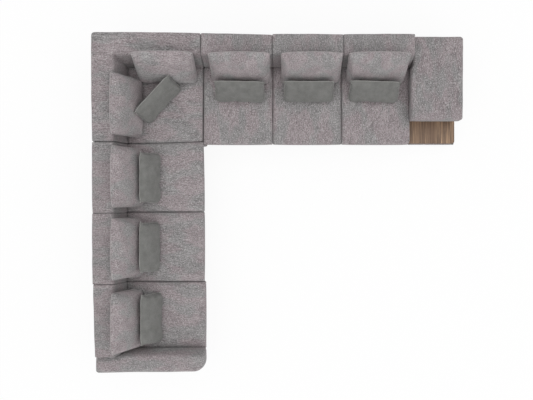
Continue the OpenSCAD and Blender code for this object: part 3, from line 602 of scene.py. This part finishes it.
def seat(name, x1, where, material, seed, x0=HALF_GAP, front=DEPTH + SEAT_PROUD,
         grooves=(0.032, 0.032), free_corner=0.0, tug=0.0, low=(0, 0), high=(0, 0), ahead=(0, 0)):
    """Seat cushion from x0 to x1: crowned, its sides drawn in. The front of a straight seat goes
    back below its edge, down to the base. grooves holds the ease of press() at either side. A
    seat whose high x side stands free has its front corner rounded there, by free_corner. Beside
    an arm its low x side is tugged down, by tug. turned_slightly() explains the other words."""
    side_in, front_out, crown, rear_crown, belly_out = 0.002, 0.003, 0.009, 0.25, 0.003
    tug_reach, corner_reach, ripple_length, ripple_size = 0.13, 0.045, 0.16, 0.0012
    p, faces = block((x0, -front, BASE_Z + SEAT_CLEAR), (x1, -SEAT_REAR, SEAT_Z),
                     ((0.010, 0.010), (0.020, 0.008), (0.006, 0.024)))
    u = (2 * p[:, 0] - x0 - x1) / (x1 - x0)
    v = (2 * p[:, 1] + front + SEAT_REAR) / (front - SEAT_REAR)
    up = smooth_step((p[:, 2] - BASE_Z) / (SEAT_Z - BASE_Z))
    p[:, 0] -= side_in * u * (1 - v * v) * up
    p[:, 1] -= front_out * np.minimum(v, 0) ** 2 * (1 - u * u) * up
    # The rear half, where cushions stand, keeps a small share of the crown
    p[:, 2] += crown * (1 - u ** 4) * np.where(v < 0, 1 - v ** 4, rear_crown) * up
    # A soft belly on the front face
    height = np.clip((p[:, 2] - BASE_Z) / (SEAT_Z - BASE_Z), 0, 1)
    face = outer_tenth(-v)
    p[:, 1] -= belly_out * np.sin(pi * height) * face * (1 - u ** 6)
    if front >= DEPTH:
        p[:, 1] += (front - DEPTH + SEAT_UNDER) * (1 - height) ** 2 * face
    press(p, u, BASE_Z, SEAT_Z, np.where(u < 0, grooves[0], grooves[1]))
    p[:, 2] -= shoulder(p, x0, x1, drop=0.013, reach=0.050) * up
    p[:, 2] -= tug * np.clip(1 - (p[:, 0] - x0) / tug_reach, 0, 1) ** 2 * up
    at_front = np.clip((-p[:, 1] - front + corner_reach) / corner_reach, 0, 1)
    p[:, 0] -= free_corner * at_front ** 2 * smooth_step((u - 0.75) / 0.25)
    turned_slightly(p, x0, x1, front, low, high, ahead)
    p[:, 2] += ripple_size * ripples(p, ripple_length, seed) * up
    make_firm(name, where(p), faces, material)


def stand_out(p, out):
    """The rear face leans by out, from nothing at the base to all of it at the upper edge."""
    high = smooth_step((p[:, 2] - BASE_Z) / (BACK_Z - BASE_Z))
    p[:, 1] += out * high * smooth_step((p[:, 1] + BACK_MIDDLE) / BACK_MIDDLE)


def swell_inside(p, share):
    """The inner face of a back swells above the seat."""
    swell, ease = 0.004, 0.1
    high = smooth_step((p[:, 2] - SEAT_Z) / ease)
    p[:, 1] -= swell * share * high * (p[:, 1] < -BACK_MIDDLE)


def back(name, width, where, material, seed, out_low, out_high):
    """The back of a straight seat. Its rear stands out by out_low and out_high at its ends."""
    bow, crown, crown_ease, groove = 0.003, 0.003, 0.03, 0.022
    p, faces = block((HALF_GAP, -BACK_THICKNESS, BASE_Z), (width - HALF_GAP, 0, BACK_Z),
                     ((0.007, 0.007), (0.028, 0.020), (0.002, 0.024)))
    p[:, 1] *= back_thickness(p[:, 2]) / BACK_THICKNESS
    u = (2 * p[:, 0] - width) / width
    swell_inside(p, 1 - u ** 4)
    stand_out(p, out_low + (out_high - out_low) * p[:, 0] / width - bow * u ** 4)
    p[:, 2] += crown * (1 - u ** 4) * smooth_step((p[:, 2] - BACK_Z + crown_ease) / crown_ease)
    press(p, u, BASE_Z, BACK_Z, groove)
    make_firm(name, where(soften(p, seed)), faces, material)


def corner_back():
    """The corner's two backs as one upholstered piece, mitred at the inside."""
    length = DEPTH - HALF_GAP
    less_at_end, outer_radius = 0.65, 0.018
    p, faces = block((0, -BACK_THICKNESS, BASE_Z), (length, 0, BACK_Z),
                     ((0, 0.012), (0.028, 0.020), (0.002, 0.028)), open_low_x=True)
    p[:, 1] *= back_thickness(p[:, 2]) / BACK_THICKNESS
    stand_out(p, CORNER_OUT * (1 - less_at_end * (p[:, 0] / length) ** 3))
    p[:, 0] -= (1 - p[:, 0] / length) * p[:, 1]
    u = (2 * p[:, 0] - length) / length
    swell_inside(p, np.clip(1 - u ** 4, 0, 1) * (u > -0.5))
    other = np.column_stack([-p[:, 1], -p[:, 0], p[:, 2]])
    both = np.vstack([p, other])
    faces = np.vstack([faces, faces[:, ::-1] + len(p)])
    # The outer corner is rounded from a square of its own radius
    out_x, out_y = outer_radius - both[:, 0], both[:, 1] + outer_radius
    here = (out_x > 0) & (out_y > 0)
    k = onto_circle(out_x, out_y)[here]
    both[here, 0] = outer_radius - out_x[here] * k
    both[here, 1] = out_y[here] * k - outer_radius
    both = soften(both, CORNER_SEED)
    # The two halves share the points of the mitre
    keys = np.round(both, 5)
    _, first, same = np.unique(keys, axis=0, return_index=True, return_inverse=True)
    same = same.reshape(-1)
    faces = [list(dict.fromkeys(same[f])) for f in faces]
    faces = [f for f in faces if len(f) > 2]
    make_firm("back_corner", AT_CORNER(both[first]), faces, CHENILLE_LEFT,
              nodes=("back_corner_rear", "back_corner_left"))


def arm():
    """End arm: leans out to its widest place, swells over the seat, wraps the last back."""
    tuck_width, tuck_depth = 0.060, 0.026
    p, faces = round_box((-ARM_THICKNESS, -ARM_FRONT, FOOT_Z), (0.0, -HALF_GAP, ARM_Z),
                         corners=(0.118, 0.026, 0.022, 0.022), top=0.030, foot=0.010)
    x, y, z = p.T
    t = (x + ARM_THICKNESS) / ARM_THICKNESS
    # The outside draws in a little towards the front
    outer = at_heights(z, ARM_OUTSIDE)
    outer = outer + 0.007 * smooth_step((-y - 0.10) / 0.25) + 0.006 * smooth_step((-y - 0.6) / 0.45)
    # The inside swells where it is free of the back
    free = smooth_step((-y - back_thickness(z) - 0.002) / 0.014)
    inner = -REST_GAP + (at_heights(z, ARM_SWELL) + REST_GAP) * free
    p[:, 0] = outer + t * (inner - outer)
    # A tuck where the arm's top meets the side of the back
    tuck = np.clip(1 + p[:, 0] / tuck_width, 0, 1) * (1 - free)
    p[:, 2] -= tuck_depth * tuck ** 1.5 * smooth_step((z - 0.5) / 0.06)
    p[:, 1] += (ARM_FRONT - at_heights(z, ARM_NOSE)) * smooth_step((-y - 0.85) / 0.15)
    make_firm("end_arm", at_left(2)(soften(p, ARM_SEED, 0.0015)), faces, CHENILLE_LEFT)


def pad():
    """Arm pad on the console board, swelling over the neighbouring seat."""
    over_seat, over_board, more_at_rear, front_out, crown = 0.020, 0.012, 0.003, 0.025, 0.006
    clear = 0.008
    x0, x1 = HALF_GAP, CONSOLE_WIDTH
    p, faces = round_box((x0, -PAD_DEPTH, BASE_Z), (x1, 0.0, PAD_Z),
                         corners=(0.022, 0.026, 0.032, 0.032), top=0.024, foot=0.006)
    x, y, z = p.T
    u = (x - x0) / (x1 - x0)
    v = (2 * y + PAD_DEPTH) / PAD_DEPTH
    past_back = smooth_step((-y - BACK_THICKNESS - clear) / 0.03)
    over = smooth_step((z - SEAT_Z - clear) / 0.030) * past_back
    p[:, 0] -= over_seat * over * (1 - u) ** 2
    p[:, 0] += (over_board + more_at_rear * v) * u ** 2 * smooth_step((z - BASE_Z) / 0.12)
    p[:, 1] -= front_out * np.clip((z - BASE_Z) / 0.20, 0, 1) * smooth_step((-y - 0.55) / 0.25)
    p[:, 2] += crown * (1 - (2 * u - 1) ** 4) * (1 - v ** 4) * smooth_step((z - 0.5) / 0.08)
    p = soften(p, PAD_SEED, 0.0015)
    p[:, 2] = np.maximum(p[:, 2], BASE_Z)
    # Its chenille copy is darker than the seats' cloth: painted shade.
    make_firm("arm_pad", AT_CONSOLE(p), faces, CHENILLE_PAD_SHADED)


def base_skin(name, x0, width, front, top, where, material, seed):
    """The padded fabric round a base, with a turned hem at its foot and a soft upper edge.
    A base that stands further out than the others leans back to them at its foot."""
    straight_radius, corner_radius, inside, lip = 0.010, 0.026, 0.0077, 0.022
    is_console = front == CONSOLE_FRONT
    z0, z1 = FOOT_Z, top - 0.0005
    heights = np.linspace(z0 + 0.022, z1 - 0.010, 8)
    outer = [(0.003, z0), (0.0004, z0 + 0.004), (0.0004, z0 + 0.014), (0.0024, z0 + 0.018)]
    outer += [(0.0015 * (1 - sin(pi * (z - z0) / (z1 - z0))), z) for z in heights]
    outer += [(0.001, z1 - 0.005), (0.003, z1 - 0.001), (0.0055, z1)]
    turned_in = [(lip, z1), (lip, z1 - 0.001)] if is_console else []
    inner = turned_in + [(inside, z1 - 0.002), (inside, (z0 + z1) / 2), (inside, z0)]
    r = corner_radius if front == CORNER_FRONT else straight_radius
    p, faces = ring(x0, width - HALF_GAP, -front, 0, r, outer + inner)
    p[:, 1] += 0.0006 * ripples(p, 0.12, seed) * (p[:, 1] < -0.5)
    if is_console:
        low = np.clip((z1 - p[:, 2]) / (z1 - z0), 0, 1)
        at_front = smooth_step((-p[:, 1] - front + 0.05) / 0.035)
        p[:, 1] += (CONSOLE_FRONT - BASE_FRONT) * low * at_front
    make_firm(name, where(p), faces, material)


modules = [("corner", 0.0, DEPTH, AT_CORNER, CHENILLE_LEFT)]
for run, cloth in (("rear", CHENILLE_REAR), ("left", CHENILLE_LEFT)):
    modules += [(f"{run}_{i + 1}", HALF_GAP, module_width(run, i), AT_RUN[run](i), cloth)
                for i in range(3)]
for k, (tag, x0, width, where, cloth) in enumerate(modules):
    is_corner = tag == "corner"
    base_skin(f"base_cover_{tag}", x0, width, CORNER_FRONT if is_corner else BASE_FRONT, BASE_Z,
              where, cloth, BASE_SEED + k)
    # The corner seat takes the darker copy of the chenille: painted shade.
    seat(f"seat_cushion_{tag}", width - HALF_GAP, where, CHENILLE_CORNER_SHADED if is_corner else cloth,
         SEAT_SEED + k, **SEATS[tag])
    if not is_corner:
        back(f"back_{tag}", width, where, cloth, BACK_SEED + k, *BACK_OUT[tag])
corner_back()
base_skin("console_cover", HALF_GAP, CONSOLE_WIDTH, CONSOLE_FRONT, BOARD_Z, AT_CONSOLE,
          CHENILLE_REAR, CONSOLE_SEED)
arm()
pad()


# Loose cushions

# The share by which a cushion's sides are drawn in halfway along
DRAW = 0.004
# What the kinds differ in: size, mesh cells, radii of the seam's lower and upper corners, first
# seed, how steeply the rear falls from the top seam, and the seam's welt, whose lighter cloth is
# painted highlight
KINDS = {
    "back": dict(size=BACK_CUSHION, cells=(44, 38), corners=(0.040, 0.038), seed=710, slope=0.44,
                 welt=0.0032, welt_highlight_cloth=WELT_HIGHLIGHT_CLOTH, slot="main_fabric"),
    "accent": dict(size=ACCENT, cells=(40, 28), corners=(0.046, 0.012), seed=700, slope=1.3,
                   welt=0.0030, welt_highlight_cloth=SEAM_HIGHLIGHT_CLOTH, slot="accent_fabric"),
}
MASTERS = {}


def crowded_steps(n):
    """n steps from -1 to 1, closer together towards both ends."""
    return np.sin(np.linspace(-1, 1, n + 1) * 1.35) / sin(1.35)


def pillow_form(w, h, t, cells, corners):
    """Two puffed faces on one seam, in the cushion's own frame: across, up, and thickness."""
    n, m = cells
    u, v = np.meshgrid(crowded_steps(n), crowded_steps(m), indexing="ij")
    x = w / 2 * u * (1 - DRAW * (1 - v * v))
    y = h / 2 * v * (1 - DRAW * (1 - u * u))
    corner = np.where(v > 0, corners[1], corners[0])
    past_x, past_y = np.abs(x) - w / 2 + corner, np.abs(y) - h / 2 + corner
    k = onto_circle(past_x, past_y)
    here = (past_x > 0) & (past_y > 0)
    x = np.where(here, np.sign(x) * (w / 2 - corner + past_x * k), x)
    y = np.where(here, np.sign(y) * (h / 2 - corner + past_y * k), y)
    # The lower half is fuller than the upper one
    q = t / 2 * (1 - u * u) ** 0.26 * np.where(v > 0, (1 - v * v) ** 0.58, (1 - v * v) ** 0.42)
    ids = np.arange((n + 1) * (m + 1)).reshape(n + 1, m + 1)
    back_ids = ids.copy()
    back_ids[1:-1, 1:-1] = ids.size + np.arange((n - 1) * (m - 1)).reshape(n - 1, m - 1)
    front = np.stack([x, y, q], axis=-1).reshape(-1, 3)
    rear = np.stack([x, y, -q], axis=-1)[1:-1, 1:-1].reshape(-1, 3)
    seam = np.concatenate([ids[:-1, 0], ids[-1, :-1], ids[:0:-1, -1], ids[0, :0:-1]])
    faces = np.vstack([grid_quads(ids), grid_quads(back_ids)[:, ::-1]])
    return np.vstack([front, rear]), faces, seam


def inflate(p, faces, pressure, cap, shrink):
    """Blows the form up as cloth for 20 frames. No point moves further than cap."""
    mesh = bpy.data.meshes.new("inflating")
    mesh.from_pydata(p.tolist(), [], faces.tolist())
    piece = bpy.data.objects.new("inflating", mesh)
    scene = bpy.context.scene
    scene.collection.objects.link(piece)
    cloth = piece.modifiers.new("Cloth", "CLOTH")
    s = cloth.settings
    s.quality = 6
    s.mass = 0.25
    s.tension_stiffness = s.compression_stiffness = 12
    s.shear_stiffness = 4
    s.bending_stiffness = 0.15
    s.use_pressure = True
    s.uniform_pressure_force = pressure
    s.shrink_min = shrink
    s.effector_weights.gravity = 0
    cloth.collision_settings.use_collision = False
    for k in range(1, 21):
        scene.frame_set(k)
    shown = piece.evaluated_get(bpy.context.evaluated_depsgraph_get()).to_mesh()
    q = np.empty(len(p) * 3)
    shown.vertices.foreach_get("co", q)
    q = q.reshape(-1, 3)
    bpy.data.objects.remove(piece)
    scene.frame_set(1)
    move = q - p
    far = np.linalg.norm(move, axis=1, keepdims=True)
    return p + move * np.minimum(1, cap / np.maximum(far, TINY))


def fitted(p, seam, w, h, t):
    """Scales a form back to the sizes that its seam and crown are meant to have, and makes its
    sides as straight as DRAW says."""
    q = p - (p[seam].max(0) + p[seam].min(0)) / 2
    q *= np.array([w, h, t]) / (q.max(0) - q.min(0))
    for along, across, half_along, half_across in ((1, 0, h / 2, w / 2), (0, 1, w / 2, h / 2)):
        for side in (-1, 1):
            edge = q[seam]
            on_side = edge[:, across] * side > 0.8 * half_across
            edge = edge[on_side & (np.abs(edge[:, along]) < 0.9 * half_along)]
            edge = edge[np.argsort(edge[:, along])]
            here = q[:, across] * side > 0
            at = q[here, along]
            now = np.interp(at, edge[:, along], np.abs(edge[:, across]))
            v = np.clip(at / half_along, -1, 1)
            meant = half_across * (1 - DRAW * (1 - v * v))
            q[here, across] *= 1 + (meant / now - 1) * smooth_step((1 - np.abs(v)) / 0.2)
    return q


def master(kind, variant):
    """The form of a cushion, simulated once for each kind and variant."""
    if (kind, variant) in MASTERS:
        return MASTERS[kind, variant]
    flat, full, ripple_size, ripple_length = 0.80, 0.97, 0.002, 0.07
    form = KINDS[kind]
    w, h, t = (form["size"][key] for key in "wht")
    p, faces, seam = pillow_form(w, h, t, form["cells"], form["corners"])
    rng = np.random.default_rng(form["seed"] + variant)
    start = p * (1.0, 1.0, flat)
    off_seam = np.abs(start[:, 2]) > 0.01
    start[:, 2] += ripple_size * ripples(start, ripple_length, int(rng.integers(1000))) * off_seam
    p = inflate(start, faces, pressure=4.0, cap=0.022, shrink=-0.03)
    p = fitted(p, seam, w, h, t * full)
    MASTERS[kind, variant] = (p, faces, seam)
    return MASTERS[kind, variant]


def tube(points, r):
    """A closed tube along a loop of points."""
    sides = 6
    ahead = np.roll(points, -1, 0) - np.roll(points, 1, 0)
    ahead /= np.linalg.norm(ahead, axis=1, keepdims=True)
    out = points - points.mean(0)
    out -= ahead * np.sum(out * ahead, 1, keepdims=True)
    out /= np.linalg.norm(out, axis=1, keepdims=True)
    up = np.cross(ahead, out)
    rings = [points + r * (cos(2 * pi * k / sides) * out + sin(2 * pi * k / sides) * up)
             for k in range(sides)]
    return np.stack(rings, axis=1).reshape(-1, 3), tube_quads(len(points), sides)


def turned(x, y, x_mid, y_mid, angle):
    """Points turned about an upright line."""
    dx, dy = x - x_mid, y - y_mid
    return x_mid + dx * cos(angle) - dy * sin(angle), y_mid + dx * sin(angle) + dy * cos(angle)


def settle(p, size, kind, seed, rng):
    """The filling settles: the lower half swells, the upper corners drop a little."""
    u, v = p[:, 0] / (size["w"] / 2), p[:, 1] / (size["h"] / 2)
    outward, upward = np.clip(np.abs(u), 0, 1), np.clip(v, 0, 1)
    p[:, 2] *= 1 + 0.07 * np.clip(-v, -1, 1) - 0.02
    drop = rng.uniform(0.002, 0.008, 2)
    if kind == "accent":
        # A wider lower half, and a front that thins out close to the top seam
        p[:, 0] *= 1 + 0.030 * smooth_step(0.5 - v)
        p[:, 2] *= np.where(p[:, 2] > 0, 0.55 + 0.45 * smooth_step((1 - v) / 0.16), 1)
    else:
        # A top seam that rises in its middle, and upper corners that lean forward
        p[:, 1] += 0.005 * (1 - u * u) * upward ** 2
        p[:, 2] += 0.018 * np.abs(u) ** 3 * upward ** 2
    p[:, 1] -= np.where(u > 0, drop[0], drop[1]) * outward ** 3 * upward ** 2
    p[:, 2] += 0.004 * ripples(p * (1, 1, 0), 0.30, seed) * (1 - np.clip(np.abs(v), 0, 1) ** 4)
    p[:, 2] += 0.0015 * ripples(p, 0.09, seed + 5)


def cushion(node, kind, x_mid, where, size, cloth, seed, turn=0.0):
    """A loose cushion on the seat, leaning back, with its welt. turn is in degrees, about z."""
    form = KINDS[kind]
    rng = np.random.default_rng(seed)
    p, faces, seam = master(kind, seed % 2)
    p = p.copy()
    if rng.random() < 0.5:
        p[:, 0] *= -1
        faces = faces[:, ::-1]
    settle(p, size, kind, seed, rng)
    h, lean = size["h"], size["lean"]
    # The rear lies flat under the top seam, which is the furthest edge from above
    p[:, 2] = soft_max(p[:, 2], form["slope"] * (p[:, 1] - h / 2))
    across, up, out = p[:, 0], p[:, 1] + h / 2, p[:, 2]
    x = x_mid + across
    y = -size["top"] - size["ahead"] - (h - up) * sin(lean) - out * cos(lean)
    z = SEAT_Z - size["sink"] + up * cos(lean) + out * sin(lean)
    z = soft_max(z, SEAT_Z + REST_GAP)
    if kind == "back":
        wall = -BACK_THICKNESS + (z - SEAT_Z) * tan(BACK_SLOPE) - REST_GAP / cos(BACK_SLOPE)
        y = -soft_max(-y, -wall)
    if turn:
        x, y = turned(x, y, x_mid, -size["top"], radians(turn))
    q = where(np.column_stack([x, y, z]))
    body = node + "_body"
    make(node, q, faces, cloth, body, (node,), levels=1)
    welt, welt_faces = tube(q[seam], form["welt"])
    # The welt's lighter cloth is painted highlight along the seam.
    make(node + "_seam", welt, welt_faces, form["welt_highlight_cloth"], body, levels=1)


# For the three seats of a run: kind, run, sizes, how far off the seat's middle each cushion
# stands, its turn in degrees, cloth and first seed
# The back cushions' cloths are the lighter copies of the chenille: painted light.
ROWS = (
    ("back", "rear", (BACK_CUSHION,) * 3, (0.031, 0.035, -0.009), (0.0, 0.0, 0.0), CUSHION_REAR_LIT, 101),
    ("back", "left", (BACK_CUSHION,) * 3, (0.006, 0.004, -0.007), (0.0, 0.0, 0.0), CUSHION_LEFT_LIT, 111),
    ("accent", "rear", (ACCENT_REAR,) * 3, (0.024, 0.013, -0.030), (-1.2, 0.0, -1.8), ACCENT_CLOTH, 121),
    ("accent", "left", ACCENT_LEFT, (0.003, 0.007, 0.0), (0.0, 0.0, 0.0), ACCENT_CLOTH, 131),
)
for i in range(3):
    for kind, run, sizes, shifts, turns, cloth, seed in ROWS:
        cushion(f"{kind}_cushion_{run}_{i + 1}", kind, module_width(run, i) / 2 + shifts[i],
                AT_RUN[run](i), sizes[i], cloth, seed + i, turns[i])
# The corner's back cushions take the lighter copy too: painted light.
cushion("back_cushion_corner_rear", "back", DEPTH - CORNER_CUSHION_X, AT_CORNER, CORNER_CUSHION,
        CUSHION_LEFT_LIT, 141)
cushion("back_cushion_corner_left", "back", CORNER_CUSHION_X, AT_CORNER_LEFT, CORNER_CUSHION,
        CUSHION_LEFT_LIT, 142)
cushion("accent_cushion_corner", "accent", CORNER_ACCENT_X, AT_DIAGONAL, CORNER_ACCENT,
        ACCENT_CLOTH, 151)


# Floor, light and camera

def looked_at(tree):
    """1 for a ray from the camera, off a gloss or through glass, and 0 for light on the sofa."""
    path = tree.nodes.new("ShaderNodeLightPath")
    seen = path.outputs["Is Camera Ray"]
    for ray in ("Is Glossy Ray", "Is Transmission Ray"):
        either = tree.nodes.new("ShaderNodeMath")
        either.operation = "MAXIMUM"
        tree.links.new(seen, either.inputs[0])
        tree.links.new(path.outputs[ray], either.inputs[1])
        seen = either.outputs[0]
    return seen


def add_world(scene):
    """White surroundings, which give the sofa less light than they show."""
    world = bpy.data.worlds.new("studio")
    scene.world = world
    world.use_nodes = True
    tree = world.node_tree
    level = tree.nodes.new("ShaderNodeMapRange")
    level.inputs["To Min"].default_value = ROOM_STRENGTH
    level.inputs["To Max"].default_value = 1.0
    tree.links.new(looked_at(tree), level.inputs["Value"])
    tree.links.new(level.outputs["Result"], tree.nodes["Background"].inputs["Strength"])
    tree.nodes["Background"].inputs["Color"].default_value = (1, 1, 1, 1)


def grey(tree, tone):
    shader = tree.nodes.new("ShaderNodeBsdfDiffuse")
    shader.inputs["Color"].default_value = (tone, tone, tone, 1)
    return shader.outputs[0]


def floor_material():
    """A plain pale floor. Looked at, it glows nearly white and keeps the sofa's shadow."""
    material = bpy.data.materials.new("floor_white")
    material.use_nodes = True
    tree = material.node_tree
    tree.nodes.clear()
    glow = tree.nodes.new("ShaderNodeEmission")
    glow.inputs["Color"].default_value = (1, 1, 1, 1)
    glow.inputs["Strength"].default_value = FLOOR_GLOW
    both = tree.nodes.new("ShaderNodeAddShader")
    pick = tree.nodes.new("ShaderNodeMixShader")
    out = tree.nodes.new("ShaderNodeOutputMaterial")
    tree.links.new(grey(tree, FLOOR_SEEN_TONE), both.inputs[0])
    tree.links.new(glow.outputs[0], both.inputs[1])
    tree.links.new(looked_at(tree), pick.inputs["Fac"])
    tree.links.new(grey(tree, FLOOR_TONE), pick.inputs[1])
    tree.links.new(both.outputs[0], pick.inputs[2])
    tree.links.new(pick.outputs[0], out.inputs["Surface"])
    return material


def add_floor(scene):
    far = FLOOR_HALF
    mesh = bpy.data.meshes.new("floor")
    mesh.from_pydata([(-far, -far, 0), (far, -far, 0), (far, far, 0), (-far, far, 0)], [],
                     [(0, 1, 2, 3)])
    floor = bpy.data.objects.new("floor", mesh)
    scene.collection.objects.link(floor)
    mesh.materials.append(floor_material())


def add_sun(scene):
    sun = bpy.data.lights.new("key", "SUN")
    sun.energy = SUN_STRENGTH
    sun.angle = SUN_SPREAD
    lamp = bpy.data.objects.new("key", sun)
    lamp.rotation_euler = SUN_FROM.to_track_quat("Z", "Y").to_euler()
    scene.collection.objects.link(lamp)


def add_camera(scene):
    """A true plan view: the camera looks straight down, the frame is cropped off its middle."""
    camera = bpy.data.cameras.new("camera")
    camera.sensor_width = SENSOR
    camera.lens = SENSOR * FOCAL_LENGTH / PHOTO_WIDTH
    camera.shift_x = -(BELOW_X - PHOTO_WIDTH / 2) / PHOTO_WIDTH
    camera.shift_y = (BELOW_Y - PHOTO_HEIGHT / 2) / PHOTO_WIDTH
    eye = bpy.data.objects.new("camera", camera)
    eye.location = CAMERA_AT
    scene.collection.objects.link(eye)
    scene.camera = eye


def studio():
    scene = bpy.context.scene
    scene.view_settings.view_transform = "Standard"
    add_world(scene)
    add_floor(scene)
    add_sun(scene)
    add_camera(scene)


studio()
